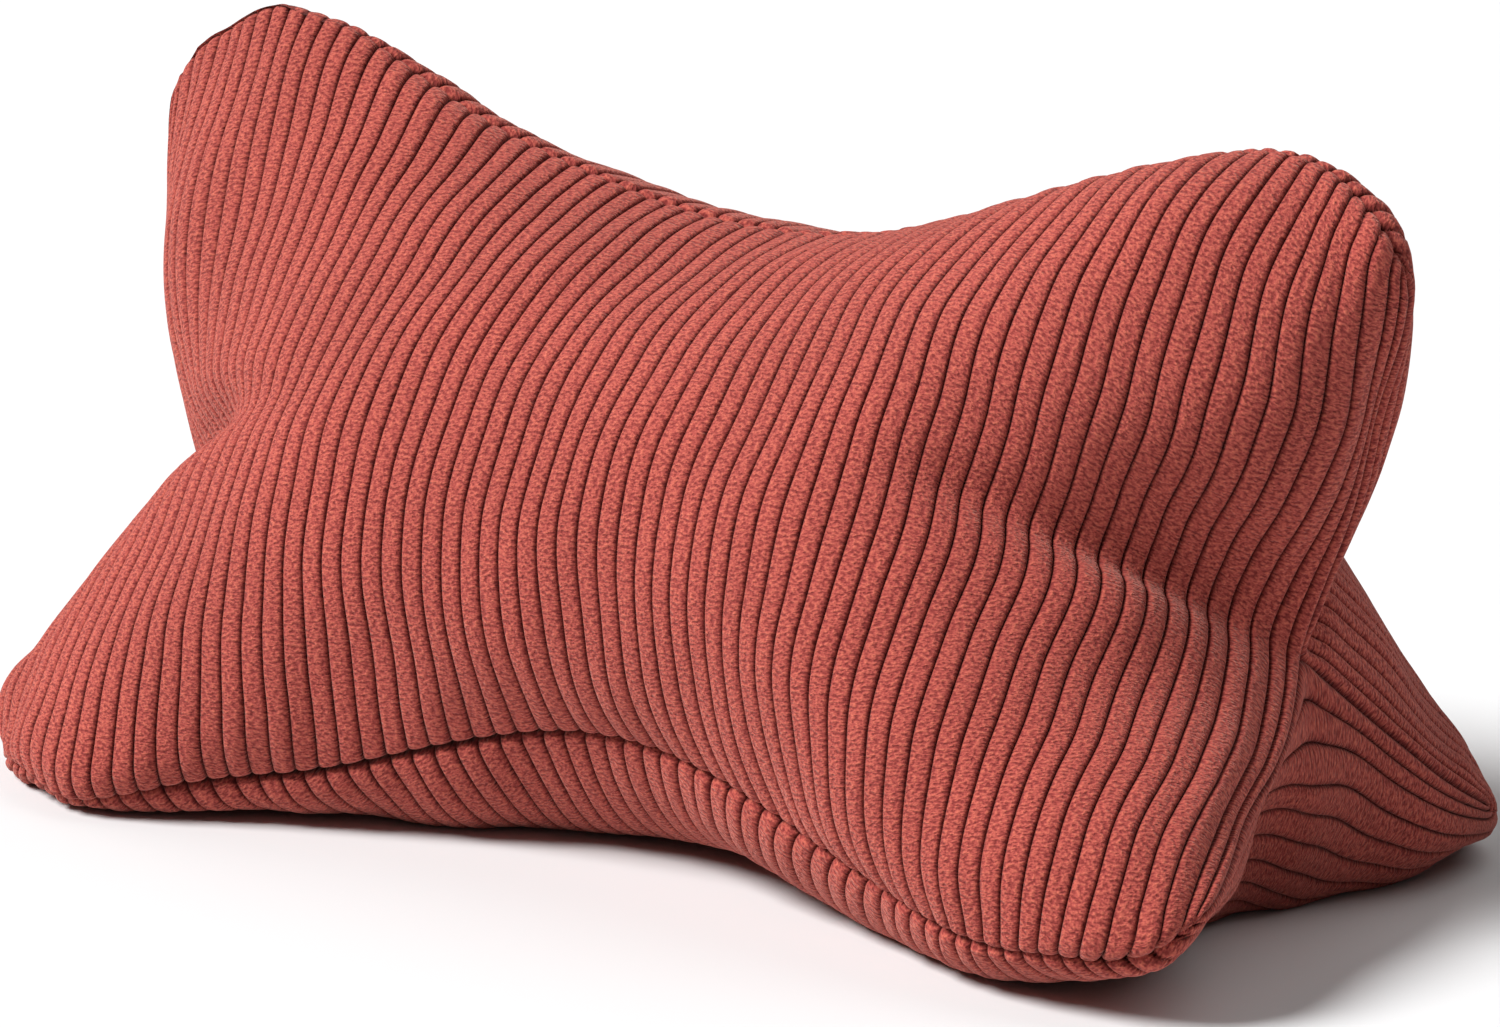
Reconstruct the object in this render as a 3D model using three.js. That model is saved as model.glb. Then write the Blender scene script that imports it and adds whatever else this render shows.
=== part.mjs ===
// A bone-shaped reading pillow of wide-wale corduroy.
//
// Three equal bone-shaped panels are sewn edge to edge along three ridge seams, which run from one
// end of the pillow to the other and meet in a pole at each end. The flat pattern is worked out from
// a few sizes, and the filled form is found the way the cloth finds it: the sewn cover is blown up by
// its filling, stretches only a little, buckles where it is slack, and settles on the floor while its
// seams are led through a few stations.
//
// Frame: +X along the pillow, the front panel faces -Y, +Z is up, the floor is z = 0 and the origin
// is under the middle of the pillow's box. Millimetres.

import * as THREE from "three";

// Cloth: the wales run across the panels, so a wale keeps one place along the pillow.
const WALE_PITCH = 6.2;
const WALES = 67;
const WALE_HEIGHT = 1.5;

// Flat pattern of one panel, measured from its middle.
const LENGTH = WALE_PITCH * WALES;
const END_BULGE = 3;
const HALF_WIDTH_TIP = 106;
const CORNER_ALONG = 50;
const CORNER_ACROSS = 17;
const HALF_WIDTH_WAIST = 88;
const WAIST_POWER = 1.15;

// Where the seams lie once the pillow is filled and set down, in mm with the floor at z = 0. A row
// is a station, and `along` is its part of the seam's length, from the left pole to the right one.
const SEAM_STATIONS = [
  { along: 0, top: [-187, -10, 59], back: [-187, -10, 59], front: [-187, -10, 59] },
  { along: 0.045, top: [-200, -4, 87], back: [-190, 13, 46], front: [-194, -33, 48] },
  { along: 0.09, top: [-206, -1, 117], back: [-193, 36, 33], front: [-197, -54, 35] },
  { along: 0.165, top: [-210, 7, 168], back: [-204, 84, 12], front: [-194, -92, 13] },
  { along: 0.25, top: [-169, 5, 202], back: [-161, 103, 2], front: [-152, -107, 3] },
  { along: 0.37, top: [-91, 7, 174], back: [-85, 92, 12], front: [-82, -86, 16] },
  { along: 0.5, top: [-6, 11, 156], back: [-2, 83, 34], front: [-1, -67, 38] },
  { along: 0.63, top: [79, 15, 173], back: [78, 88, 15], front: [84, -79, 24] },
  { along: 0.75, top: [153, 20, 194], back: [140, 100, 2], front: [153, -98, 15] },
  { along: 0.835, top: [192, 14, 169], back: [179, 80, 13], front: [196, -79, 29] },
  { along: 0.91, top: [178, 15, 128], back: [180, 47, 35], front: [184, -42, 44] },
  { along: 0.955, top: [172, 13, 99], back: [172, 29, 54], front: [177, -13, 55] },
  { along: 1, top: [166, 10, 69], back: [166, 10, 69], front: [166, 10, 69] },
];

// Seams in order round the pillow, with the side each one starts from. A panel runs from the seam
// before its own (its lower half) to its own seam (its upper half).
const SEAMS = [
  { name: "top", startDegrees: 90 },
  { name: "back", startDegrees: -30 },
  { name: "front", startDegrees: 210 },
];
// Panels in the same order. The filling presses harder on the bottom one, which it lies on, and the
// fold along its mid line is opened into a plain groove.
const PANELS = [
  { name: "front", pressure: 0.16, opened: false },
  { name: "back", pressure: 0.16, opened: false },
  { name: "bottom", pressure: 0.48, opened: true },
];
const START_HEIGHT = 79;
const START_BULGE = 4;

// Filling and settling.
const GRAVITY = 2.5;
const TIME_STEP = 0.02;
const DAMPING = 0.98;
const STEPS = 600;
const RAMP_STEPS = 150;
const SEAM_PULL = 0.15;
const FLOOR_SLIDE = 0.9;
const FOLD_DEPTH = 0.45;
const FOLD_ROWS = 3;

// How easily the cloth gives along each kind of line, pulled out and pushed together.
const GIVE = {
  weft: { pull: 2e-4, push: 5e-2 },
  warp: { pull: 1e-4, push: 2e-2 },
  shear: { pull: 2e-3, push: 5e-2 },
  bend: { pull: 1.5, push: 1.5 },
};

// Grids: for the settling cloth, and for the finished solid with a ridge and a groove for each wale.
const COLUMNS = 50;
const HALF_ROWS = 14;
const SOLID_COLUMNS = 2 * WALES;
const SOLID_HALF_ROWS = [0, 0.13, 0.27, 0.42, 0.58, 0.74, 0.9, 1];
const END_COLUMN_POWER = 8;
const CONTACT_HEIGHT = 1.2;

// Colour and finish of the cloth.
const RUST_RED = 0xb4503f;
const CORDUROY_ROUGHNESS = 0.95;

const END_STRAIGHT = LENGTH / 2 - CORNER_ALONG;
const HALF_WIDTH_LOBE = HALF_WIDTH_TIP + CORNER_ACROSS;
const CORNER_U = END_STRAIGHT + CORNER_ALONG * Math.SQRT1_2;
const CORNER_V = HALF_WIDTH_TIP + CORNER_ACROSS * Math.SQRT1_2;

const radians = (degrees) => (degrees * Math.PI) / 180;

// Half the panel's width, at a place along it.
function halfWidth(u) {
  const a = Math.abs(u);
  if (a > END_STRAIGHT) {
    const t = (a - END_STRAIGHT) / CORNER_ALONG;
    return HALF_WIDTH_TIP + CORNER_ACROSS * Math.sqrt(1 - t * t);
  }
  const s = Math.pow(a / END_STRAIGHT, WAIST_POWER);
  const rise = 0.5 - 0.5 * Math.cos(Math.PI * s);
  return HALF_WIDTH_WAIST + (HALF_WIDTH_LOBE - HALF_WIDTH_WAIST) * rise;
}

// How far along the panel its end edge lies, at a distance from the mid line.
function endEdge(v) {
  if (v > HALF_WIDTH_TIP) {
    const t = (v - HALF_WIDTH_TIP) / CORNER_ACROSS;
    return END_STRAIGHT + CORNER_ALONG * Math.sqrt(1 - t * t);
  }
  return LENGTH / 2 + END_BULGE * (1 - v / HALF_WIDTH_TIP);
}

// Flat place of a grid point of a half panel: along the panel, and across it from the mid line.
function flatPlace(column, halfRow) {
  const u = CORNER_U * ((2 * column) / COLUMNS - 1);
  const t = halfRow / HALF_ROWS;
  const stretch = Math.pow(Math.abs(u) / CORNER_U, END_COLUMN_POWER);
  return [u + Math.sign(u) * (endEdge(t * CORNER_V) - CORNER_U) * stretch, halfWidth(u) * t];
}

const flatDistance = (a, b) => Math.hypot(a[0] - b[0], a[1] - b[1]);

const seamOf = (panel, half) => (half === 1 ? panel : (panel + 2) % 3);

// Name of a grid point. Points on a seam, an end edge or a pole have one name in every panel that
// they belong to, which sews the panels together.
function pointName(panel, half, column, halfRow, lastColumn, lastRow) {
  const seam = seamOf(panel, half);
  if (halfRow === lastRow) return `seam ${seam} ${column}`;
  if (column === 0 || column === lastColumn) {
    return halfRow === 0 ? `pole ${column}` : `end ${seam} ${column} ${halfRow}`;
  }
  return halfRow === 0 ? `middle ${panel} ${column}` : `${panel} ${half} ${column} ${halfRow}`;
}

// A curve through stations at uneven places, and its value at place t.
function alongStations(places, values, t) {
  const last = places.length - 1;
  const slope = (i, j) => values[j].map((v, k) => (v - values[i][k]) / (places[j] - places[i]));
  let i = 0;
  while (i < last - 1 && places[i + 1] <= t) i += 1;
  const m0 = slope(Math.max(0, i - 1), i + 1);
  const m1 = slope(i, Math.min(last, i + 2));
  const h = places[i + 1] - places[i];
  const s = (t - places[i]) / h;
  const [s2, s3] = [s * s, s * s * s];
  return values[i].map((v, k) =>
    (2 * s3 - 3 * s2 + 1) * v + (s3 - 2 * s2 + s) * h * m0[k] +
    (3 * s2 - 2 * s3) * values[i + 1][k] + (s3 - s2) * h * m1[k]);
}

// The sewn cover as a net: its points in their starting places, the lines of cloth between them
// with their flat lengths, and its triangles.
function sewCover() {
  const names = new Map();
  const ids = [];
  const sums = [];
  const id = (panel, half, c, j) => ids[((panel * 2 + half) * (COLUMNS + 1) + c) * (HALF_ROWS + 1) + j];
  for (let panel = 0; panel < 3; panel += 1) {
    const lower = radians(SEAMS[seamOf(panel, 0)].startDegrees);
    const upper = radians(SEAMS[seamOf(panel, 1)].startDegrees);
    const ahead = new THREE.Vector3(0, Math.cos(lower), Math.sin(lower));
    ahead.add(new THREE.Vector3(0, Math.cos(upper), Math.sin(upper))).normalize();
    for (let half = 0; half < 2; half += 1) {
      const angle = half === 1 ? upper : lower;
      const spoke = new THREE.Vector3(0, Math.cos(angle), Math.sin(angle));
      const away = ahead.clone().addScaledVector(spoke, -ahead.dot(spoke)).normalize();
      for (let c = 0; c <= COLUMNS; c += 1) {
        for (let j = 0; j <= HALF_ROWS; j += 1) {
          const name = pointName(panel, half, c, j, COLUMNS, HALF_ROWS);
          if (!names.has(name)) {
            names.set(name, names.size);
            sums.push({ sum: new THREE.Vector3(), count: 0 });
          }
          const n = names.get(name);
          ids.push(n);
          const [u, v] = flatPlace(c, j);
          const bulge = START_BULGE * Math.sin(Math.PI * (0.98 * (j / HALF_ROWS) + 0.01));
          sums[n].sum.add(new THREE.Vector3(u, 0, START_HEIGHT));
          sums[n].sum.addScaledVector(spoke, v).addScaledVector(away, bulge);
          if (j === 0 && c > 0 && c < COLUMNS) sums[n].sum.addScaledVector(ahead, START_BULGE);
          sums[n].count += 1;
        }
      }
    }
  }
  const points = new Float64Array(3 * sums.length);
  sums.forEach(({ sum, count }, n) => sum.divideScalar(count).toArray(points, 3 * n));

  const lines = new Map();
  const addLine = (a, b, length, kind) => {
    const key = Math.min(a, b) * sums.length + Math.max(a, b);
    if (a !== b && !lines.has(key)) {
      lines.set(key, { a: Math.min(a, b), b: Math.max(a, b), length, give: GIVE[kind] });
    }
  };
  const steps = [
    { kind: "weft", dc: 1, dj: 0 },
    { kind: "warp", dc: 0, dj: 1 },
    { kind: "shear", dc: 1, dj: 1 },
    { kind: "shear", dc: 1, dj: -1 },
    { kind: "bend", dc: 2, dj: 0 },
    { kind: "bend", dc: 0, dj: 2 },
  ];
  const triangles = [];
  const pressures = [];
  for (let panel = 0; panel < 3; panel += 1) {
    for (let half = 0; half < 2; half += 1) {
      for (const { kind, dc, dj } of steps) {
        for (let c = 0; c + dc <= COLUMNS; c += 1) {
          for (let j = Math.max(0, -dj); j <= HALF_ROWS && j + dj <= HALF_ROWS; j += 1) {
            const length = flatDistance(flatPlace(c, j), flatPlace(c + dc, j + dj));
            addLine(id(panel, half, c, j), id(panel, half, c + dc, j + dj), length, kind);
          }
        }
      }
      for (let c = 0; c < COLUMNS; c += 1) {
        for (let j = 0; j < HALF_ROWS; j += 1) {
          const [p, q] = [id(panel, half, c, j), id(panel, half, c + 1, j)];
          const [r, s] = [id(panel, half, c + 1, j + 1), id(panel, half, c, j + 1)];
          triangles.push(...(half === 1 ? [p, q, r, p, r, s] : [p, r, q, p, s, r]));
          pressures.push(PANELS[panel].pressure, PANELS[panel].pressure);
        }
      }
    }
    for (let c = 1; c < COLUMNS; c += 1) {
      addLine(id(panel, 0, c, 1), id(panel, 1, c, 1), 2 * flatPlace(c, 1)[1], "bend");
    }
  }
  return { id, points, lines: inRounds([...lines.values()], sums.length), triangles, pressures };
}

// Lines put in rounds, so that no two lines of a round share a point, and then round after round.
function inRounds(lines, pointCount) {
  const used = Array.from({ length: pointCount }, () => new Set());
  const rounds = [];
  for (const line of lines) {
    let round = 0;
    while (used[line.a].has(round) || used[line.b].has(round)) round += 1;
    used[line.a].add(round);
    used[line.b].add(round);
    if (!rounds[round]) rounds[round] = [];
    rounds[round].push(line);
  }
  return rounds.flat();
}

// The points of the seams, each with the place that it is led to.
function seamGuides(id) {
  const places = SEAM_STATIONS.map((row) => row.along);
  const guides = new Map();
  SEAMS.forEach(({ name }, seam) => {
    const values = SEAM_STATIONS.map((row) => row[name]);
    const trail = [];
    for (let j = 0; j < HALF_ROWS; j += 1) trail.push([0, j]);
    for (let c = 0; c <= COLUMNS; c += 1) trail.push([c, HALF_ROWS]);
    for (let j = HALF_ROWS - 1; j >= 0; j -= 1) trail.push([COLUMNS, j]);
    const lengths = [0];
    for (let k = 1; k < trail.length; k += 1) {
      lengths.push(lengths[k - 1] + flatDistance(flatPlace(...trail[k - 1]), flatPlace(...trail[k])));
    }
    trail.forEach(([c, j], k) => {
      const point = id(seam, 1, c, j);
      const t = lengths[k] / lengths[lengths.length - 1];
      if (!guides.has(point)) guides.set(point, alongStations(places, values, t));
    });
  });
  return [...guides].map(([point, target]) => ({ point, target }));
}

// The cover filled and set down.
function settle({ id, points, lines, triangles, pressures }) {
  const guides = seamGuides(id);
  const x = points.slice();
  const next = new Float64Array(x.length);
  const force = new Float64Array(x.length);
  const speed = new Float64Array(x.length);
  const [a, b, c] = [new THREE.Vector3(), new THREE.Vector3(), new THREE.Vector3()];
  for (let step = 0; step < STEPS; step += 1) {
    const ramp = Math.min(1, (step + 1) / RAMP_STEPS);
    force.fill(0);
    for (let t = 0; t < triangles.length; t += 3) {
      a.fromArray(x, 3 * triangles[t]);
      b.fromArray(x, 3 * triangles[t + 1]).sub(a);
      c.fromArray(x, 3 * triangles[t + 2]).sub(a);
      b.cross(c).multiplyScalar((pressures[t / 3] * ramp) / 2);
      for (let k = 0; k < 3; k += 1) {
        force[3 * triangles[t + k]] += b.x;
        force[3 * triangles[t + k] + 1] += b.y;
        force[3 * triangles[t + k] + 2] += b.z;
      }
    }
    for (let i = 0; i < x.length; i += 1) {
      const weight = i % 3 === 2 ? GRAVITY * ramp : 0;
      speed[i] = (speed[i] + TIME_STEP * (force[i] - weight)) * DAMPING;
      next[i] = x[i] + TIME_STEP * speed[i];
    }
    for (const { point, target } of guides) {
      for (let k = 0; k < 3; k += 1) {
        next[3 * point + k] += SEAM_PULL * ramp * (target[k] - next[3 * point + k]);
      }
    }
    for (const line of lines) {
      const [i, j] = [3 * line.a, 3 * line.b];
      const dx = next[i] - next[j];
      const dy = next[i + 1] - next[j + 1];
      const dz = next[i + 2] - next[j + 2];
      const length = Math.sqrt(dx * dx + dy * dy + dz * dz) + 1e-9;
      const excess = length - line.length;
      const give = (excess > 0 ? line.give.pull : line.give.push) / (TIME_STEP * TIME_STEP);
      const move = -excess / (2 + give) / length;
      next[i] += dx * move;
      next[i + 1] += dy * move;
      next[i + 2] += dz * move;
      next[j] -= dx * move;
      next[j + 1] -= dy * move;
      next[j + 2] -= dz * move;
    }
    for (let i = 0; i < x.length; i += 3) {
      if (next[i + 2] < 0) {
        next[i + 2] = 0;
        next[i] = x[i] + (next[i] - x[i]) * FLOOR_SLIDE;
        next[i + 1] = x[i + 1] + (next[i + 1] - x[i + 1]) * FLOOR_SLIDE;
      }
    }
    for (let i = 0; i < x.length; i += 1) {
      speed[i] = (next[i] - x[i]) / TIME_STEP;
      x[i] = next[i];
    }
  }
  return x;
}

// A fold along the mid line opened into a plain groove, so that the cloth lies clear of itself.
function openFolds(x, id) {
  for (const panel of [0, 1, 2].filter((n) => PANELS[n].opened)) {
    for (let c = 1; c < COLUMNS; c += 1) {
      const at = (half, j) => new THREE.Vector3().fromArray(x, 3 * id(panel, half, c, j));
      const [a, b] = [at(0, FOLD_ROWS), at(1, FOLD_ROWS)];
      const inward = a.clone().add(b).sub(at(0, FOLD_ROWS + 1)).sub(at(1, FOLD_ROWS + 1));
      const middle = a.clone().lerp(b, 0.5).addScaledVector(inward, FOLD_DEPTH);
      for (let j = 0; j < FOLD_ROWS; j += 1) {
        middle.clone().lerp(a, j / FOLD_ROWS).toArray(x, 3 * id(panel, 0, c, j));
        middle.clone().lerp(b, j / FOLD_ROWS).toArray(x, 3 * id(panel, 1, c, j));
      }
    }
  }
}

// A smooth curve through points that are evenly spaced, from `first` to `last`, at place t.
function throughPoints(point, first, last, t) {
  const i = Math.min(Math.max(Math.floor(t), first), last - 1);
  const s = t - i;
  const [p1, p2] = [point(i), point(i + 1)];
  const p0 = i > first ? point(i - 1) : p1.clone().multiplyScalar(2).sub(p2);
  const p3 = i + 1 < last ? point(i + 2) : p2.clone().multiplyScalar(2).sub(p1);
  const out = p0.multiplyScalar(-0.5 * s + s * s - 0.5 * s * s * s);
  out.addScaledVector(p1, 1 - 2.5 * s * s + 1.5 * s * s * s);
  out.addScaledVector(p2, 0.5 * s + 2 * s * s - 1.5 * s * s * s);
  return out.addScaledVector(p3, -0.5 * s * s + 0.5 * s * s * s);
}

// A place on the settled cloth, at a column and a distance from the mid line, both as grid steps.
function onCloth(x, id, panel, half, column, halfRow) {
  const node = (c, row) => {
    const side = row < 0 ? 1 - half : half;
    return new THREE.Vector3().fromArray(x, 3 * id(panel, side, c, Math.abs(row)));
  };
  const inColumn = (c) => {
    const atEnd = c === 0 || c === COLUMNS;
    return throughPoints((row) => node(c, row), atEnd ? 0 : -HALF_ROWS, HALF_ROWS, halfRow);
  };
  return throughPoints(inColumn, 0, COLUMNS, column);
}

// The filled solid: the settled cloth with a raised wale on every other column.
function pillowGeometry() {
  const cover = sewCover();
  const x = settle(cover);
  openFolds(x, cover.id);
  const lastRow = SOLID_HALF_ROWS.length - 1;
  const names = new Map();
  const places = [];
  const wale = [];
  const index = [];
  const pointAt = (panel, half, c, j) => {
    const name = pointName(panel, half, c, j, SOLID_COLUMNS, lastRow);
    if (!names.has(name)) {
      names.set(name, places.length);
      const column = (c * COLUMNS) / SOLID_COLUMNS;
      places.push(onCloth(x, cover.id, panel, half, column, SOLID_HALF_ROWS[j] * HALF_ROWS));
      const sewn = j === lastRow || c === 0 || c === SOLID_COLUMNS;
      wale.push(sewn ? 0 : (c % 2 === 1 ? 0.5 : -0.5) * WALE_HEIGHT);
    }
    return names.get(name);
  };
  for (let panel = 0; panel < 3; panel += 1) {
    for (let half = 0; half < 2; half += 1) {
      for (let c = 0; c < SOLID_COLUMNS; c += 1) {
        for (let j = 0; j < lastRow; j += 1) {
          const [p, q] = [pointAt(panel, half, c, j), pointAt(panel, half, c + 1, j)];
          const [r, s] = [pointAt(panel, half, c + 1, j + 1), pointAt(panel, half, c, j + 1)];
          const ring = 2 * c < SOLID_COLUMNS ? [q, r, s, p] : [p, q, r, s];
          if (half === 0) ring.reverse();
          index.push(ring[0], ring[1], ring[2], ring[0], ring[2], ring[3]);
        }
      }
    }
  }
  const smooth = new THREE.BufferGeometry().setFromPoints(places);
  smooth.setIndex(index);
  smooth.computeVertexNormals();
  const normal = new THREE.Vector3();
  const box = new THREE.Box3();
  places.forEach((place, n) => {
    normal.fromBufferAttribute(smooth.getAttribute("normal"), n);
    const touches = place.z < CONTACT_HEIGHT;
    place.addScaledVector(normal, wale[n]);
    if (touches || place.z < 0) place.z = 0;
    box.expandByPoint(place);
  });
  const middle = box.getCenter(new THREE.Vector3()).setZ(box.min.z);
  places.forEach((place) => place.sub(middle));
  const geometry = new THREE.BufferGeometry().setFromPoints(places);
  geometry.setIndex(index);
  geometry.computeVertexNormals();
  return geometry;
}

const material = new THREE.MeshStandardMaterial({
  color: RUST_RED,
  roughness: CORDUROY_ROUGHNESS,
  metalness: 0,
});
material.name = "corduroy";

const pillow = new THREE.Mesh(pillowGeometry(), material);
pillow.name = "pillow";

const readingPillow = new THREE.Group();
readingPillow.name = "reading_pillow";
readingPillow.add(pillow);

export default readingPillow;
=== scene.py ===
"""A bone-shaped reading pillow of wide-wale corduroy, dressed for a studio picture.

Three equal panels are sewn along three ridge seams and filled. The sewn cover is worked out on a
coarse net, in millimetres: its filling blows it up, the cloth barely stretches, and it settles on
the floor while its seams are led through a few stations. Small places of it are moved a little,
and each panel is drawn as a fine mesh of its own, with raised wales, rounded wale ends along the
seams, shallow folds and small puckers.
"""
import math
import bpy
import numpy as np
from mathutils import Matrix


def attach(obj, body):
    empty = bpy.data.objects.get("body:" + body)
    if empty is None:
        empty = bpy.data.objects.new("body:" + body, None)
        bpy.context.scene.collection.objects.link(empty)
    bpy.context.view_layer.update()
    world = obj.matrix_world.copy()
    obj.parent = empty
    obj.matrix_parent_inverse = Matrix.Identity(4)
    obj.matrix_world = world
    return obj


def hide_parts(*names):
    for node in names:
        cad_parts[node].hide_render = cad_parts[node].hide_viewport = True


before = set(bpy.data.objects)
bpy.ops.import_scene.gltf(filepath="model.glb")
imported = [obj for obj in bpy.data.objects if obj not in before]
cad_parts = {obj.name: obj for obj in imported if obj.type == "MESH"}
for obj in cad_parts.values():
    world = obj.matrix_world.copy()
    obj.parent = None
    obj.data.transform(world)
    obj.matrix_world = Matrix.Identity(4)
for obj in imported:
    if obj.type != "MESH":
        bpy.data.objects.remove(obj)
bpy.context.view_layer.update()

# Flat pattern of one panel, in mm from its middle.
WALE_PITCH = 6.2
WALES = 67
LENGTH = WALE_PITCH * WALES
END_BULGE = 3.0
HALF_WIDTH_TIP = 106.0
CORNER_ALONG = 50.0
CORNER_ACROSS = 17.0
HALF_WIDTH_WAIST = 88.0
WAIST_POWER = 1.15
END_STRAIGHT = LENGTH / 2 - CORNER_ALONG
HALF_WIDTH_LOBE = HALF_WIDTH_TIP + CORNER_ACROSS
CORNER_U = END_STRAIGHT + CORNER_ALONG * math.sqrt(0.5)
CORNER_V = HALF_WIDTH_TIP + CORNER_ACROSS * math.sqrt(0.5)

# Where the seams lie when filled, in mm: the part of a seam's length, then x, y, z of each seam.
SEAM_STATIONS = [
    # along   top               back              front
    (0.000, (-187, -10, 59), (-187, -10, 59), (-187, -10, 59)),
    (0.045, (-200, -4, 87), (-190, 13, 46), (-194, -33, 48)),
    (0.090, (-206, -1, 117), (-193, 36, 33), (-197, -54, 35)),
    (0.165, (-210, 7, 168), (-204, 84, 12), (-194, -92, 13)),
    (0.250, (-169, 5, 202), (-161, 103, 2), (-152, -107, 3)),
    (0.370, (-91, 7, 174), (-85, 92, 12), (-82, -86, 16)),
    (0.500, (-6, 11, 156), (-2, 83, 34), (-1, -67, 38)),
    (0.630, (79, 15, 173), (78, 88, 15), (84, -79, 24)),
    (0.750, (153, 20, 194), (140, 100, 2), (153, -98, 15)),
    (0.835, (192, 14, 169), (179, 80, 13), (196, -79, 29)),
    (0.910, (178, 15, 128), (180, 47, 35), (184, -42, 44)),
    (0.955, (172, 13, 99), (172, 29, 54), (177, -13, 55)),
    (1.000, (166, 10, 69), (166, 10, 69), (166, 10, 69)),
]
START_DEGREES = (90.0, -30.0, 210.0)      # the side each seam starts from: top, back, front
PANELS = ("front", "back", "bottom")      # a panel runs from the seam before its own to its own
PRESSURE = (0.16, 0.16, 0.48)             # the filling presses harder on the panel it lies on
OPENED = (False, False, True)             # panels whose mid fold is opened into a plain groove
START_HEIGHT = 79.0
START_BULGE = 4.0
BULGE_FROM, BULGE_SPAN = 0.01, 0.98       # where its arc starts and how far it goes, in half turns

# Filling and settling.
GRAVITY = 2.5
TIME_STEP = 0.02
DAMPING = 0.98
STEPS = 600
RAMP_STEPS = 150
SEAM_PULL = 0.15
FLOOR_SLIDE = 0.9
FOLD_DEPTH = 0.45
FOLD_ROWS = 3
GIVE = {                                  # give of the cloth, pulled out and pushed together
    "weft": (2e-4, 5e-2),
    "warp": (1e-4, 2e-2),
    "shear": (2e-3, 5e-2),
    "bend": (1.5, 1.5),
}
COLUMNS = 50
HALF_ROWS = 14
END_COLUMN_POWER = 8
EASED = (                                 # a panel whose mid fold is eased, rows to each side, rounds
    (0, 4, 1),
    (2, 7, 5),
)
SHAPED = (                                # a place of the settled cover, its reach and its move, mm
    ((-207, 3, 135), 40, (-2.4, 4.6, 0.0)),
    ((-207, 7, 172), 20, (-1.2, 1.6, 0.0)),
    ((-188, 6, 192), 10, (1.0, 1.0, -1.5)),
    ((-166, 5, 199), 8, (0.0, 0.0, 1.2)),
    ((186, 15, 178), 15, (-3.0, -2.3, -2.3)),
    ((114, 18, 185), 22, (0.0, 0.0, -1.5)),
    ((178, 30, 120), 35, (2.0, 1.5, 0.0)),
    ((147, 86, 51), 32, (-1.7, -1.3, -1.7)),
    ((158, 10, 22), 32, (3.0, 0.0, -11.0)),
    ((160, 8, 4), 28, (1.0, -2.0, -7.0)),
    ((34, -46, 2), 38, (0.0, 0.0, 5.0)),
    ((184, -68, 14), 16, (-1.0, 0.0, 3.5)),
    ((165, -72, 0), 25, (0.0, 0.0, 3.0)),
    ((182, -94, 24), 16, (0.0, 0.0, -4.0)),
    ((-118, -88, 0), 30, (0.0, 0.0, 3.5)),
    ((-138, -106, 3), 24, (1.5, -5.0, -1.0)),
    ((-166, -107, 4), 13, (0.0, 1.0, 4.0)),
    ((172, 77, 2), 19, (0.0, 0.0, 4.2)),
    ((-198, -72, 25), 20, (1.0, 0.5, 0.0)),
    ((-190, -100, 12), 24, (3.6, 2.6, 0.0)),
    ((-190, -102, 11), 14, (4.4, 3.5, 0.0)),
    ((180, 86, 12), 16, (-2.8, -2.2, 0.5)),
    ((40, 13, 163), 30, (0.0, 0.0, -2.0)),
    ((-85, 7, 173), 30, (0.0, 0.0, -1.4)),
    ((176, 20, 105), 20, (1.2, 1.0, 0.0)),
)

# Fine cloth, in mm.
WALE_HEIGHT = 1.7
WALE_STATIONS = (                         # parts of a wale where the columns of points lie
    0.0, 0.035, 0.085, 0.16, 0.28, 0.42, 0.58, 0.72, 0.84, 0.915, 0.965,
)
WALES_AT_END = 4                          # by each end, these fan out round the corners
INNER_HALF_ROWS = 46
EDGE_HALF_ROWS = 18
EDGE_FROM = 0.94                          # part of the half width from which the rows lie closer
PLACE_ROUNDS = 60
JUST_LESS = 0.001                         # keeps the far edge of the last wale within it
PILE_SQUARENESS = 4.4                     # higher is a flatter wale with a narrower groove
TUCK_REACH = 3.4                          # the cloth is drawn in along its seams
TUCK_DEPTH = 2.0
END_TUCK_LESS = 0.6                       # and by this part less on the end edges
CORNER_EDGE_PART = 0.8                    # distance to a corner's edge, of the way along or across
WALE_END_REACH = 2.4                      # the wales' ends are rounded over this
PAINTED_SEAM_SHADE_REACH = 0.9                        # painted shade darkens the line of the seam over this
BEAD_REACH = 4.0                          # near the seams the wales are rounder and fuller
BEAD_ROUNDING = 2.4
BEAD_SWELL = 0.45
PLAIN_PANEL = 1                           # the back panel's left end isn't drawn in, and near its seam has painted light in place of painted shade
PLAIN_START = 12.0                        # this comes in so far before the corner
PLAIN_OVER = 15.0                         # and is whole after so much more
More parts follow.
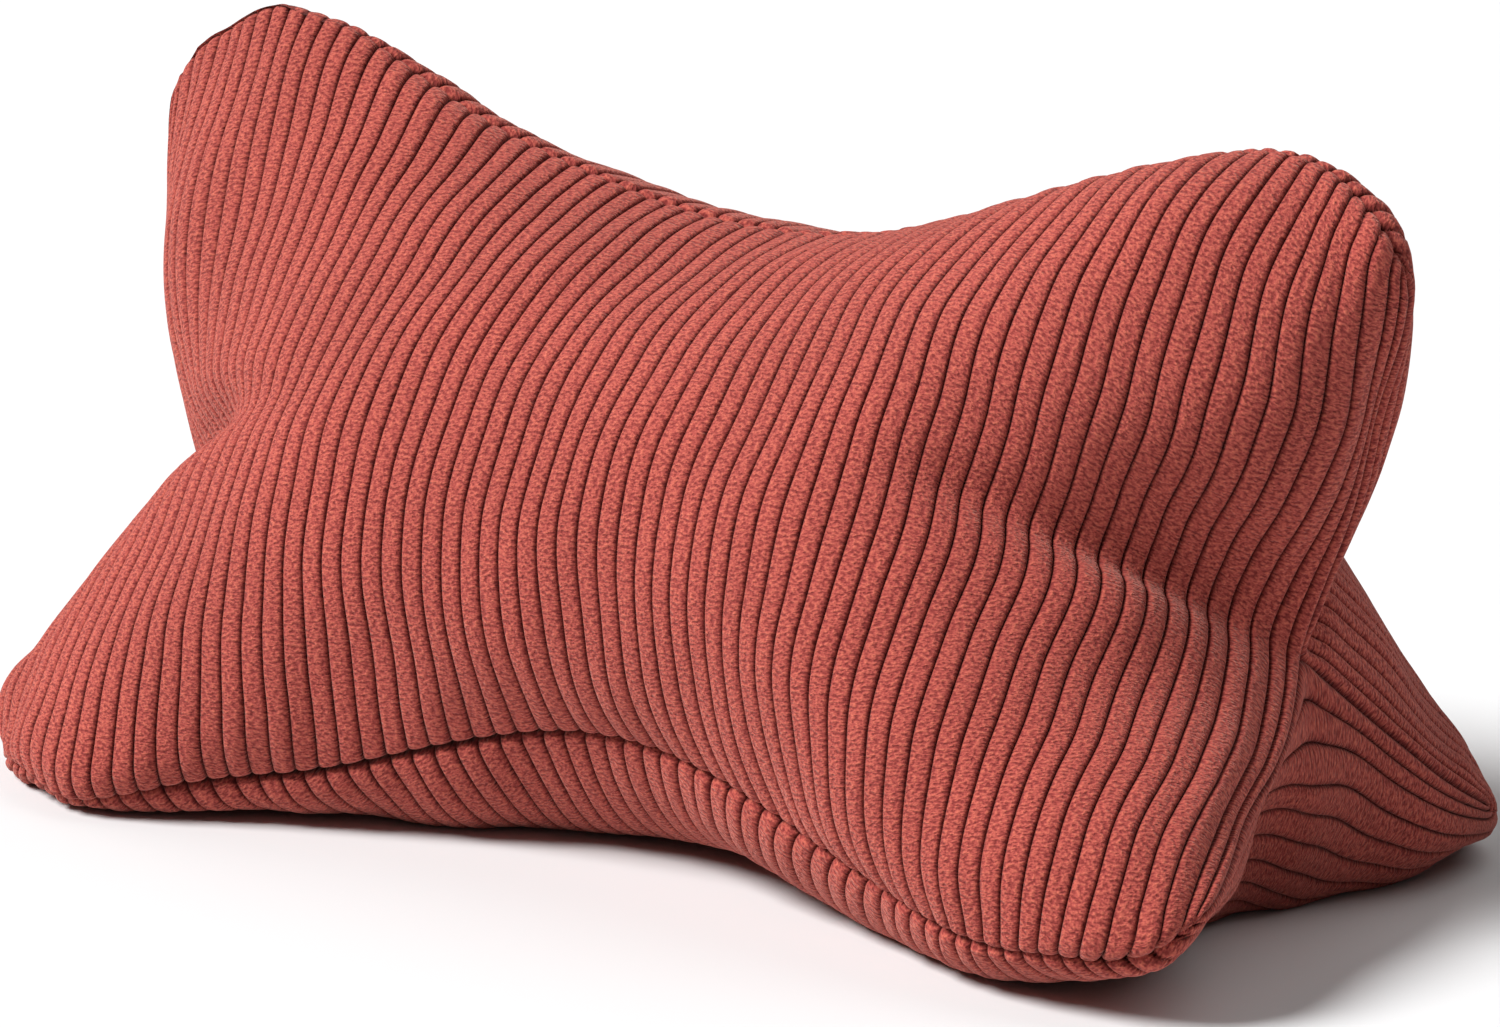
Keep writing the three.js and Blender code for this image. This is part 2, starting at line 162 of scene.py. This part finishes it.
# How light the colour near that seam is kept, and over how many mm: painted light on a rim that lies
# in shade.
PLAIN_PAINTED_LIGHT = 0.8
PLAIN_PAINTED_LIGHT_REACH = 3.0
WAVES = (                                 # wandering of the wales, mm: size, steps along u, v, start
    (0.50, 0.021, 0.062, 0.0),
    (0.34, -0.034, 0.113, 1.3),
    (0.20, 0.055, 0.190, 4.1),
)
RIPPLES = (                               # shallow unevenness of the filling, mm, in the same way
    (0.55, 0.050, 0.071, 0.6),
    (0.45, -0.083, 0.047, 2.2),
    (0.30, 0.127, -0.101, 5.0),
)
FOLDS = (                                 # panel, then u, v, their reaches and the lift of each, mm
    (0, 165, 4, 50, 9, -5.0),
    (0, 112, 3, 16, 6, -2.5),
    (0, 130, 40, 36, 22, 7.0),
    (0, 185, 60, 36, 34, 6.0),
    (0, 140, 75, 45, 42, 5.0),
    (0, 170, 20, 45, 11, -4.0),
    (0, -184, 68, 30, 34, 9.0),
    (1, -175, -70, 30, 34, 5.0),
    (2, 190, 26, 32, 26, -10.0),
    (2, 182, -8, 30, 20, 1.5),
    (0, 160, -20, 45, 12, 1.5),
    (0, -160, 2, 45, 9, -7.0),
    (0, -185, 35, 30, 20, 3.0),
    (0, -150, -24, 30, 14, 1.5),
)
PANEL_TURN = 2.1                          # shifts the waves from panel to panel, in radians
WAVE_FADE = 12.0                          # mm from the end edges where the wales stop wandering
LIFT_FADE = 10.0                          # mm from the seams where ripples and folds fade out
EDGE_RIPPLE = 0.8                         # puckers along the seams
EDGE_RIPPLE_REACH = 16.0
EDGE_RIPPLE_STEP = 0.37
EDGE_RIPPLE_SWAY = 2.2
EDGE_RIPPLE_SWAY_STEP = 0.061
FLAT_SPAN = 450.0                         # mm of flat cloth across the whole of the UV square

# Look of the corduroy. A ramp is a list of places with their colours.
ROUGHNESS = 0.92
SPECULAR = 0.18
SHEEN = 0.25
SHEEN_ROUGHNESS = 0.45
SHEEN_TINT = (1.0, 0.62, 0.52, 1)
PAINTED_SHADE_COLOURS = (                         # painted shade, from the bottom of the grooves and the seam lines to the crowns of the wales
    (0.0, (0.07, 0.006, 0.007)),
    (0.42, (0.16, 0.020, 0.017)),
    (0.80, (0.37, 0.065, 0.052)),
    (1.0, (0.42, 0.078, 0.062)),
)
MARKS = (1.5, 0.78, 1.0, 0.5)             # grain along and across the panel in mm, detail, roughness
MARK_COLOURS = (
    (0.38, (0.60, 0.48, 0.52)),
    (0.5, (0.99, 0.97, 0.98)),
    (0.62, (1.22, 1.42, 1.26)),
)
FUZZ = (0.7, 0.6, 2.0, 0.6)
FUZZ_COLOURS = (
    (0.34, (0.72, 0.62, 0.68)),
    (0.5, (1.0, 1.0, 1.0)),
    (0.66, (1.18, 1.32, 1.2)),
)
PATCHES = (45.0, 45.0, 2.0, 0.5)
PATCH_COLOURS = (
    (0.35, (0.93, 0.93, 0.93)),
    (0.65, (1.05, 1.05, 1.05)),
)
PATCH_STRENGTH = 0.8
MARK_BUMP = (0.0012, 0.7)                 # distance in metres, strength
FUZZ_BUMP = (0.0004, 0.6)

# Studio, in metres and degrees.
FLOOR_SIZE = 30.0
FLOOR_COLOUR = (0.73, 0.735, 0.74, 1)
WORLD_COLOUR = (1.0, 0.93, 0.88, 1)
WORLD_STRENGTH = 0.08
SUNS = (                                  # name, direction towards the light, strength, spread
    ("key", (-0.52, -0.62, 0.83), 4.8, 26),
    ("back", (0.20, 0.50, 0.85), 0.8, 60),
    ("side", (-0.85, 0.30, 0.25), 0.5, 50),
)

# Camera, in degrees, metres and pixels of the picture.
IMAGE_WIDTH, IMAGE_HEIGHT = 1500, 1027
CAMERA_AZIMUTH = 37.629
CAMERA_ELEVATION = 14.185
CAMERA_DISTANCE = 1.89262
FOCAL_PIXELS = 7203.9
MIDDLE_X, MIDDLE_Y = 756.2, 549.4
AIM_HEIGHT = 0.0726
SENSOR_WIDTH = 36
FAR_CLIP = 100


def half_width(u):
    """Half the panel's width, at a place along it."""
    a = np.abs(u)
    rise = 0.5 - 0.5 * np.cos(np.pi * np.clip(a / END_STRAIGHT, 0, 1) ** WAIST_POWER)
    waist = HALF_WIDTH_WAIST + (HALF_WIDTH_LOBE - HALF_WIDTH_WAIST) * rise
    t = np.clip((a - END_STRAIGHT) / CORNER_ALONG, 0, 1)
    corner = HALF_WIDTH_TIP + CORNER_ACROSS * np.sqrt(1 - t * t)
    return np.where(a <= END_STRAIGHT, waist, corner)


def end_between_corners(v):
    """How far along the panel its end edge lies between its corners."""
    return LENGTH / 2 + END_BULGE * (1 - np.clip(v / HALF_WIDTH_TIP, 0, 1))


def end_edge(v):
    """How far along the panel its end edge lies, at a distance from the mid line."""
    t = np.clip((v - HALF_WIDTH_TIP) / CORNER_ACROSS, 0, 1)
    corner = END_STRAIGHT + CORNER_ALONG * np.sqrt(1 - t * t)
    return np.where(v <= HALF_WIDTH_TIP, end_between_corners(v), corner)


def fan_out(s, t):
    """How far a point of the coarse net is moved outwards to follow the end edge."""
    return (end_edge(t * CORNER_V) - CORNER_U) * (np.abs(s) / CORNER_U) ** END_COLUMN_POWER


def coarse_net():
    """Flat places of the points of half a panel's coarse net, and its parts of the half width."""
    s = np.linspace(-CORNER_U, CORNER_U, COLUMNS + 1)[:, None]
    t = np.linspace(0, 1, HALF_ROWS + 1)
    return s + np.sign(s) * fan_out(s, t[None]), half_width(s) * t[None], t


def seam_of(panel, half):
    """The seam along one half of a panel."""
    return panel if half else (panel + 2) % 3


def sew_cover():
    """Point numbers of every half panel, starting points, lines of cloth in rounds, triangles."""
    fu, fv, t = coarse_net()
    names = {}
    ids = np.zeros((3, 2, COLUMNS + 1, HALF_ROWS + 1), int)

    def name(panel, half, c, j):
        """What a point is called, so that panels share the points of their seams and mid lines."""
        seam = seam_of(panel, half)
        if j == HALF_ROWS:
            return ("seam", seam, c)
        if c in (0, COLUMNS):
            return ("pole", c) if j == 0 else ("end", seam, c, j)
        return ("middle", panel, c) if j == 0 else (panel, half, c, j)

    for panel in range(3):
        for half in range(2):
            for c in range(COLUMNS + 1):
                for j in range(HALF_ROWS + 1):
                    ids[panel, half, c, j] = names.setdefault(name(panel, half, c, j), len(names))

    count = np.zeros(len(names))
    points = np.zeros((len(names), 3))
    spokes = [np.array((0, math.cos(a), math.sin(a))) for a in map(math.radians, START_DEGREES)]
    for panel in range(3):
        ahead = spokes[seam_of(panel, 0)] + spokes[seam_of(panel, 1)]
        ahead /= np.linalg.norm(ahead)
        for half in range(2):
            spoke = spokes[seam_of(panel, half)]
            away = ahead - spoke * (ahead @ spoke)
            away /= np.linalg.norm(away)
            bulge = START_BULGE * np.sin(np.pi * (BULGE_SPAN * t + BULGE_FROM))
            place = fv[..., None] * spoke + bulge[None, :, None] * away
            place[..., 0] += fu
            place[..., 2] += START_HEIGHT
            place[1:-1, 0] += ahead * START_BULGE
            np.add.at(points, ids[panel, half].ravel(), place.reshape(-1, 3))
            np.add.at(count, ids[panel, half].ravel(), 1)
    points /= count[:, None]

    lines = {}

    def add_line(a, b, length, kind):
        if a != b:
            lines.setdefault((min(a, b), max(a, b)), (length, *GIVE[kind]))

    steps = (("weft", 1, 0), ("warp", 0, 1), ("shear", 1, 1), ("shear", 1, -1),
             ("bend", 2, 0), ("bend", 0, 2))
    triangles = []
    pressures = []
    for panel in range(3):
        for half in range(2):
            for kind, dc, dj in steps:
                for c in range(COLUMNS + 1 - dc):
                    for j in range(max(0, -dj), HALF_ROWS + 1 - max(0, dj)):
                        k, m = c + dc, j + dj
                        length = math.hypot(fu[c, j] - fu[k, m], fv[c, j] - fv[k, m])
                        add_line(ids[panel, half, c, j], ids[panel, half, k, m], length, kind)
            p, q = ids[panel, half, :-1, :-1].ravel(), ids[panel, half, 1:, :-1].ravel()
            r, w = ids[panel, half, 1:, 1:].ravel(), ids[panel, half, :-1, 1:].ravel()
            both = [(p, q, r), (p, r, w)] if half else [(p, r, q), (p, w, r)]
            triangles += [np.stack(three, 1) for three in both]
            pressures += [PRESSURE[panel]] * (2 * len(p))
        for c in range(1, COLUMNS):
            add_line(ids[panel, 0, c, 1], ids[panel, 1, c, 1], 2 * fv[c, 1], "bend")

    used = [set() for _ in range(len(names))]
    rounds = []
    for (a, b), (length, pull, push) in lines.items():
        k = 0
        while k in used[a] or k in used[b]:
            k += 1
        used[a].add(k)
        used[b].add(k)
        if k == len(rounds):
            rounds.append([])
        rounds[k].append((a, b, length, pull, push))
    rounds = [np.array(r) for r in rounds]
    return ids, points, rounds, np.concatenate(triangles), np.array(pressures)


def along_stations(places, values, t):
    """A smooth curve through stations at uneven places."""
    places, values = np.array(places, float), np.array(values, float)
    slopes = np.zeros_like(values)
    slopes[1:-1] = (values[2:] - values[:-2]) / (places[2:] - places[:-2])[:, None]
    slopes[0] = (values[1] - values[0]) / (places[1] - places[0])
    slopes[-1] = (values[-1] - values[-2]) / (places[-1] - places[-2])
    k = np.clip(np.searchsorted(places, t, side="right") - 1, 0, len(places) - 2)
    h = (places[k + 1] - places[k])[:, None]
    s = (t - places[k])[:, None] / h
    return ((2 * s**3 - 3 * s**2 + 1) * values[k] + (s**3 - 2 * s**2 + s) * h * slopes[k]
            + (3 * s**2 - 2 * s**3) * values[k + 1] + (s**3 - s**2) * h * slopes[k + 1])


def seam_guides(ids):
    """Points of the seams, and the places that they are led to."""
    flat = np.stack(coarse_net()[:2], 2)
    guides = {}
    for seam in range(3):
        trail = np.concatenate([flat[0, :-1], flat[:, -1], flat[-1, -2::-1]])
        net = ids[seam, 1]
        points = np.concatenate([net[0, :-1], net[:, -1], net[-1, -2::-1]])
        gone = np.concatenate([[0], np.cumsum(np.linalg.norm(np.diff(trail, axis=0), axis=1))])
        targets = along_stations([r[0] for r in SEAM_STATIONS], [r[1 + seam] for r in SEAM_STATIONS],
                                 gone / gone[-1])
        for point, target in zip(points.tolist(), targets):
            guides.setdefault(point, target)
    return np.array(list(guides)), np.array(list(guides.values()))


def settle(ids, points, rounds, triangles, pressures):
    """The cover filled and set down."""
    led, targets = seam_guides(ids)
    groups = [(r[:, 0].astype(int), r[:, 1].astype(int), r[:, 2], r[:, 3], r[:, 4]) for r in rounds]
    x = points.copy()
    speed = np.zeros_like(x)
    corners = triangles.T.ravel()
    for step in range(STEPS):
        ramp = min(1.0, (step + 1) / RAMP_STEPS)
        a, b, c = x[triangles[:, 0]], x[triangles[:, 1]], x[triangles[:, 2]]
        push = np.cross(b - a, c - a) * (pressures * ramp / 2)[:, None]
        force = np.stack([np.bincount(corners, np.tile(push[:, k], 3), len(x)) for k in range(3)], 1)
        force[:, 2] -= GRAVITY * ramp
        speed = (speed + TIME_STEP * force) * DAMPING
        new = x + TIME_STEP * speed
        new[led] += SEAM_PULL * ramp * (targets - new[led])
        for i, j, length, pull, shove in groups:
            d = new[i] - new[j]
            now = np.sqrt((d * d).sum(1)) + 1e-9
            excess = now - length
            give = np.where(excess > 0, pull, shove) / TIME_STEP**2
            move = d * (-excess / (2 + give) / now)[:, None]
            new[i] += move
            new[j] -= move
        low = new[:, 2] < 0
        new[low, 2] = 0
        new[low, :2] = x[low, :2] + (new[low, :2] - x[low, :2]) * FLOOR_SLIDE
        speed = (new - x) / TIME_STEP
        x = new
    return x


def open_folds(x, ids):
    """A fold along the mid line opened into a plain groove, clear of itself."""
    for panel in [n for n in range(3) if OPENED[n]]:
        lower, upper = ids[panel, 0, 1:-1], ids[panel, 1, 1:-1]
        a, b = x[lower[:, FOLD_ROWS]], x[upper[:, FOLD_ROWS]]
        beyond = x[lower[:, FOLD_ROWS + 1]] + x[upper[:, FOLD_ROWS + 1]]
        middle = (a + b) / 2 + (a + b - beyond) * FOLD_DEPTH
        for j in range(FOLD_ROWS):
            x[lower[:, j]] = middle + (a - middle) * (j / FOLD_ROWS)
            x[upper[:, j]] = middle + (b - middle) * (j / FOLD_ROWS)


def ease_creases(x, ids):
    """The folds along the mid lines eased into soft valleys."""
    for panel, reach, rounds in EASED:
        rows = np.concatenate([ids[panel, 0, 1:-1, reach:0:-1], ids[panel, 1, 1:-1, :reach + 1]], 1)
        for _ in range(rounds):
            x[rows[:, 1:-1]] = x[rows[:, 1:-1]] / 2 + (x[rows[:, :-2]] + x[rows[:, 2:]]) / 4


def shape_by_hand(x):
    """Small places of the cover moved as one, as a hand would pat them."""
    still = x.copy()
    for place, reach, move in SHAPED:
        x += np.exp(-((still - place) ** 2).sum(1) / reach**2)[:, None] * np.array(move)
    x[:, 2] = np.maximum(x[:, 2], 0)


def through_points(p0, p1, p2, p3, s):
    """A smooth curve through four points in a row, between the second and the third."""
    return (p0 * (-0.5 * s + s * s - 0.5 * s**3) + p1 * (1 - 2.5 * s * s + 1.5 * s**3)
            + p2 * (0.5 * s + 2 * s * s - 1.5 * s**3) + p3 * (-0.5 * s * s + 0.5 * s**3))


def with_ghosts(net):
    """A net with one more column and row on each side, straight on from its last two."""
    net = np.concatenate([2 * net[:1] - net[1:2], net, 2 * net[-1:] - net[-2:-1]])
    return np.concatenate([2 * net[:, :1] - net[:, 1:2], net, 2 * net[:, -1:] - net[:, -2:-1]], 1)


def on_cloth(net, column, row):
    """Points of the settled cloth, at places given as grid steps of the coarse net."""
    c = np.clip(np.floor(column).astype(int), 0, net.shape[0] - 4)
    r = np.clip(np.floor(row).astype(int), 0, net.shape[1] - 4)
    cs, rs = (column - c)[..., None], (row - r)[..., None]
    rows = [through_points(*[net[c + i, r + j] for j in range(4)], rs) for i in range(4)]
    return through_points(*rows, cs)


def fine_grid():
    """Flat places of the fine mesh, whose columns keep to the wales, and its parts of the width."""
    narrow = [(p + half) / 2 for half in (0, 1) for p in WALE_STATIONS]
    inland = np.array([-LENGTH / 2 + (k + p) * WALE_PITCH for k in range(WALES)
                       for p in (narrow if k in (0, WALES - 1) else WALE_STATIONS)] + [LENGTH / 2])
    fanned = LENGTH / 2 - WALES_AT_END * WALE_PITCH
    part = np.clip((np.abs(inland) - fanned) / (LENGTH / 2 - fanned), 0, 1)
    s = np.where(part > 0, np.sign(inland) * (fanned + part * (CORNER_U - fanned)), inland)[:, None]
    half = np.concatenate([np.linspace(0, EDGE_FROM, INNER_HALF_ROWS + 1)[:-1],
                           np.linspace(EDGE_FROM, 1, EDGE_HALF_ROWS + 1)])
    t = np.concatenate([-half[:0:-1], half])[None]
    end = end_edge(np.abs(t) * CORNER_V)
    open_part = np.clip((end - CORNER_U) / (LENGTH / 2 - CORNER_U), 0, 1)
    last = np.clip((np.abs(inland) - LENGTH / 2) / WALE_PITCH + 1, 0, 1)[:, None]
    u = s + open_part * (inland[:, None] - s) + np.sign(s) * last * np.maximum(end - LENGTH / 2, 0)
    return u, half_width(s) * np.abs(t), t


def coarse_place(u, v):
    """Where a flat place lies in the coarse net, as its column and its part of the width."""
    s = np.clip(u, -CORNER_U, CORNER_U)
    for _ in range(PLACE_ROUNDS):
        t = np.clip(v / half_width(s), 0, 1)
        s = np.clip(u - np.sign(u) * fan_out(s, t), -CORNER_U, CORNER_U)
    return (s / CORNER_U + 1) * COLUMNS / 2, np.clip(v / half_width(s), 0, 1)


def waves(rows, u, v, turn):
    """A sum of a few plain waves over the flat panel."""
    return sum(size * np.sin(a * u + b * v + start + turn) for size, a, b, start in rows)


def panel_mesh(panel, net):
    """The fine mesh of one panel: its points, their flat places and its painted shade, dark in the
    grooves and along the seams.
    """
    u, v, t = fine_grid()
    signed_v = v * np.sign(t)
    turn = PANEL_TURN * panel
    inland = np.clip((end_edge(v) - np.abs(u)) / WAVE_FADE, 0, 1)
    column, part = coarse_place(u + inland * waves(WAVES, u, signed_v, turn), v)
    row = HALF_ROWS * (1 + np.sign(t) * part)
    base = on_cloth(with_ghosts(net), column, row)
    du = np.gradient(base, axis=0)
    dv = np.gradient(base, axis=1)
    normal = np.cross(du, dv)
    normal /= np.linalg.norm(normal, axis=2, keepdims=True) + 1e-12

    edge = np.minimum(half_width(u) - v, np.maximum(end_edge(v) - np.abs(u), 0))
    edge = np.where(np.abs(u) > END_STRAIGHT, edge * CORNER_EDGE_PART, half_width(u) - v)
    edge = np.maximum(edge, 0)
    last_wale = LENGTH / 2 - WALE_PITCH
    beyond = np.clip((np.abs(u) - last_wale) / (end_between_corners(v) - last_wale), 0, 1)
    phase = np.where(np.abs(u) > last_wale, 2 * beyond, (u + LENGTH / 2) / WALE_PITCH)
    across = 2 * (phase - np.floor(np.minimum(phase, WALES - JUST_LESS))) - 1
    across = np.where(beyond >= 1, 1, across)
    bead = np.exp(-edge / BEAD_REACH)
    wale_profile_and_painted_shade = np.sqrt(np.maximum(0, 1 - np.abs(across) ** (PILE_SQUARENESS - BEAD_ROUNDING * bead)))
    ends = np.sqrt(1 - (1 - np.clip(edge / WALE_END_REACH, 0, 1)) ** 2)
    at_end = np.clip((np.abs(u) - END_STRAIGHT) / CORNER_ALONG - 0.5, 0, 0.5) * 2
    tuck_reach = TUCK_REACH * (1 - END_TUCK_LESS * at_end)
    tuck = 1 - np.sqrt(1 - (1 - np.clip(edge / tuck_reach, 0, 1)) ** 2)
    plain = np.clip((-u - END_STRAIGHT + PLAIN_START) / PLAIN_OVER, 0, 1) * (panel == PLAIN_PANEL)
    tuck *= 1 - np.maximum(END_TUCK_LESS * at_end, plain)
    lift = WALE_HEIGHT * (wale_profile_and_painted_shade * ends * (1 + BEAD_SWELL * bead) - 0.5) - TUCK_DEPTH * tuck
    away = 1 - np.exp(-edge / LIFT_FADE)
    lift += away * waves(RIPPLES, u, signed_v, turn)
    for place, at_u, at_v, reach_u, reach_v, size in FOLDS:
        if place == panel:
            far = ((u - at_u) / reach_u) ** 2 + ((signed_v - at_v) / reach_v) ** 2
            lift += away * size * np.exp(-far)
    sway = EDGE_RIPPLE_SWAY * np.sin(u * EDGE_RIPPLE_SWAY_STEP + turn)
    near = np.exp(-edge / EDGE_RIPPLE_REACH)
    lift += EDGE_RIPPLE * near * away * np.sin(u * EDGE_RIPPLE_STEP + sway)
    points = base + normal * lift[..., None]
    points[..., 2] = np.maximum(points[..., 2], 0)
    # Painted shade: dark in the grooves of the wales and darker still along the seam lines.
    shade = wale_profile_and_painted_shade * np.clip(edge / PAINTED_SEAM_SHADE_REACH, 0, 1) ** 0.5
    # Near the seam of the back panel's left end the colour is kept light: painted light on a rim that
    # lies in shade.
    shade = np.maximum(shade, PLAIN_PAINTED_LIGHT * plain * np.exp(-(edge / PLAIN_PAINTED_LIGHT_REACH) ** 2))
    return points, u, signed_v, shade


def make_panel(name, panel, net, middle):
    """One panel as an object, with its flat places as UVs and its painted shade of grooves and seams
    as an attribute.
    """
    points, u, v, wale_profile_and_painted_shade = panel_mesh(panel, net)
    columns, rows = u.shape
    index = np.arange(columns * rows).reshape(columns, rows)
    quads = np.stack([index[:-1, :-1], index[1:, :-1], index[1:, 1:], index[:-1, 1:]], 2)
    quads = quads.reshape(-1, 4)
    places = (points.reshape(-1, 3) - middle) / 1000
    mesh = bpy.data.meshes.new(name)
    mesh.vertices.add(columns * rows)
    mesh.vertices.foreach_set("co", places.astype(np.float32).ravel())
    mesh.loops.add(quads.size)
    mesh.loops.foreach_set("vertex_index", quads.astype(np.int32).ravel())
    mesh.polygons.add(len(quads))
    mesh.polygons.foreach_set("loop_start", np.arange(0, quads.size, 4, dtype=np.int32))
    mesh.update(calc_edges=True)
    mesh.polygons.foreach_set("use_smooth", np.ones(len(quads), bool))
    flat = np.stack([0.5 + u.ravel() / FLAT_SPAN, 0.5 + v.ravel() / FLAT_SPAN], 1)
    layer = mesh.uv_layers.new(name="OFBake")
    layer.data.foreach_set("uv", flat[quads.ravel()].astype(np.float32).ravel())
    attribute = mesh.attributes.new("wale_profile_and_painted_shade", "FLOAT", "POINT")
    attribute.data.foreach_set("value", wale_profile_and_painted_shade.astype(np.float32).ravel())
    mesh.update()
    piece = bpy.data.objects.new(name, mesh)
    bpy.context.scene.collection.objects.link(piece)
    return piece


def corduroy():
    """Matt ribbed cloth, with painted shade in its grooves and along its seams, small marks in the
    pile and faint patches.
    """
    material = bpy.data.materials.new("corduroy")
    material.use_nodes = True
    tree = material.node_tree
    nodes, links = tree.nodes, tree.links
    shader = nodes["Principled BSDF"]
    shader.inputs["Roughness"].default_value = ROUGHNESS
    shader.inputs["Specular IOR Level"].default_value = SPECULAR
    shader.inputs["Sheen Weight"].default_value = SHEEN
    shader.inputs["Sheen Roughness"].default_value = SHEEN_ROUGHNESS
    shader.inputs["Sheen Tint"].default_value = SHEEN_TINT

    uv = nodes.new("ShaderNodeUVMap")
    uv.uv_map = "OFBake"
    wale_profile_and_painted_shade = nodes.new("ShaderNodeAttribute")
    wale_profile_and_painted_shade.attribute_name = "wale_profile_and_painted_shade"

    def noise(scale_u, scale_v, detail, roughness):
        """Noise in the flat cloth, with a grain this long along the panel and across it, in mm."""
        mapping = nodes.new("ShaderNodeMapping")
        mapping.inputs["Scale"].default_value = (FLAT_SPAN / scale_u, FLAT_SPAN / scale_v, 1)
        texture = nodes.new("ShaderNodeTexNoise")
        texture.inputs["Scale"].default_value = 1.0
        texture.inputs["Detail"].default_value = detail
        texture.inputs["Roughness"].default_value = roughness
        links.new(uv.outputs["UV"], mapping.inputs["Vector"])
        links.new(mapping.outputs["Vector"], texture.inputs["Vector"])
        return texture.outputs["Fac"]

    def ramp(fac, stops):
        """A value turned into a colour."""
        node = nodes.new("ShaderNodeValToRGB")
        while len(node.color_ramp.elements) < len(stops):
            node.color_ramp.elements.new(0.5)
        for element, (place, colour) in zip(node.color_ramp.elements, stops):
            element.position = place
            element.color = (*colour, 1)
        links.new(fac, node.inputs["Fac"])
        return node.outputs["Color"]

    def mix(kind, fac, a, b):
        """Two colours as one."""
        node = nodes.new("ShaderNodeMix")
        node.data_type = "RGBA"
        node.blend_type = kind
        node.inputs["Factor"].default_value = fac
        links.new(a, node.inputs["A"])
        links.new(b, node.inputs["B"])
        return node.outputs["Result"]

    marks, fuzz, patches = noise(*MARKS), noise(*FUZZ), noise(*PATCHES)
    # Painted shade in the grooves and along the seams, over the cloth's own red.
    colour = ramp(wale_profile_and_painted_shade.outputs["Fac"], PAINTED_SHADE_COLOURS)
    colour = mix("MULTIPLY", 1.0, colour, ramp(marks, MARK_COLOURS))
    colour = mix("MULTIPLY", 1.0, colour, ramp(fuzz, FUZZ_COLOURS))
    colour = mix("MULTIPLY", PATCH_STRENGTH, colour, ramp(patches, PATCH_COLOURS))
    links.new(colour, shader.inputs["Base Color"])

    def bump(height, distance, strength, before=None):
        """Fine relief, on top of any before it."""
        node = nodes.new("ShaderNodeBump")
        node.inputs["Distance"].default_value = distance
        node.inputs["Strength"].default_value = strength
        links.new(height, node.inputs["Height"])
        if before is not None:
            links.new(before, node.inputs["Normal"])
        return node.outputs["Normal"]

    normal = bump(marks, *MARK_BUMP)
    normal = bump(fuzz, *FUZZ_BUMP, normal)
    links.new(normal, shader.inputs["Normal"])
    return material


# The pillow.
ids, points, rounds, triangles, pressures = sew_cover()
settled = settle(ids, points, rounds, triangles, pressures)
open_folds(settled, ids)
ease_creases(settled, ids)
shape_by_hand(settled)
middle = (settled.max(0) + settled.min(0)) / 2
middle[2] = 0
cloth = corduroy()
for panel, label in enumerate(PANELS):
    lower, upper = ids[panel, 0], ids[panel, 1]
    net = settled[np.concatenate([lower[:, :0:-1], upper], 1)]
    piece = make_panel(label + "_panel", panel, net, middle)
    piece.data.materials.append(cloth)
    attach(piece, "root")
    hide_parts("pillow")


def plane(name, size):
    """A level square at the origin."""
    mesh = bpy.data.meshes.new(name)
    h = size / 2
    mesh.from_pydata([(-h, -h, 0), (h, -h, 0), (h, h, 0), (-h, h, 0)], [], [(0, 1, 2, 3)])
    obj = bpy.data.objects.new(name, mesh)
    bpy.context.scene.collection.objects.link(obj)
    return obj


def pale_floor():
    """Matt white for the floor."""
    material = bpy.data.materials.new("pale_floor")
    material.use_nodes = True
    shader = material.node_tree.nodes["Principled BSDF"]
    shader.inputs["Base Color"].default_value = FLOOR_COLOUR
    shader.inputs["Roughness"].default_value = 1.0
    shader.inputs["Specular IOR Level"].default_value = 0.0
    return material


def soft_sun(name, towards, strength, spread):
    """A distant light with soft edges."""
    data = bpy.data.lights.new(name, "SUN")
    data.energy = strength
    data.angle = math.radians(spread)
    obj = bpy.data.objects.new(name, data)
    yaw = math.atan2(-towards[1], -towards[0])
    pitch = math.atan2(-towards[2], math.hypot(towards[0], towards[1]))
    obj.rotation_euler = (math.pi / 2 + pitch, 0, yaw - math.pi / 2)
    bpy.context.scene.collection.objects.link(obj)


# The studio.
floor = plane("floor", FLOOR_SIZE)
floor.data.materials.append(pale_floor())
world = bpy.data.worlds.new("studio")
bpy.context.scene.world = world
world.use_nodes = True
background = world.node_tree.nodes["Background"]
background.inputs["Color"].default_value = WORLD_COLOUR
background.inputs["Strength"].default_value = WORLD_STRENGTH
for sun in SUNS:
    soft_sun(*sun)

# The camera.
azimuth, elevation = math.radians(CAMERA_AZIMUTH), math.radians(CAMERA_ELEVATION)
forward = np.array((-math.sin(azimuth) * math.cos(elevation),
                    math.cos(azimuth) * math.cos(elevation),
                    -math.sin(elevation)))
aim = np.array((-middle[0] / 1000, -middle[1] / 1000, AIM_HEIGHT))
lens = bpy.data.cameras.new("camera")
lens.sensor_fit = "HORIZONTAL"
lens.sensor_width = SENSOR_WIDTH
lens.lens = SENSOR_WIDTH * FOCAL_PIXELS / IMAGE_WIDTH
lens.shift_x = (IMAGE_WIDTH / 2 - MIDDLE_X) / IMAGE_WIDTH
lens.shift_y = (MIDDLE_Y - IMAGE_HEIGHT / 2) / IMAGE_WIDTH
lens.clip_end = FAR_CLIP
camera = bpy.data.objects.new("camera", lens)
camera.location = aim - forward * CAMERA_DISTANCE
camera.rotation_euler = (math.pi / 2 - elevation, 0, azimuth)
bpy.context.scene.collection.objects.link(camera)
bpy.context.scene.camera = camera
bpy.context.scene.view_settings.view_transform = "Standard"
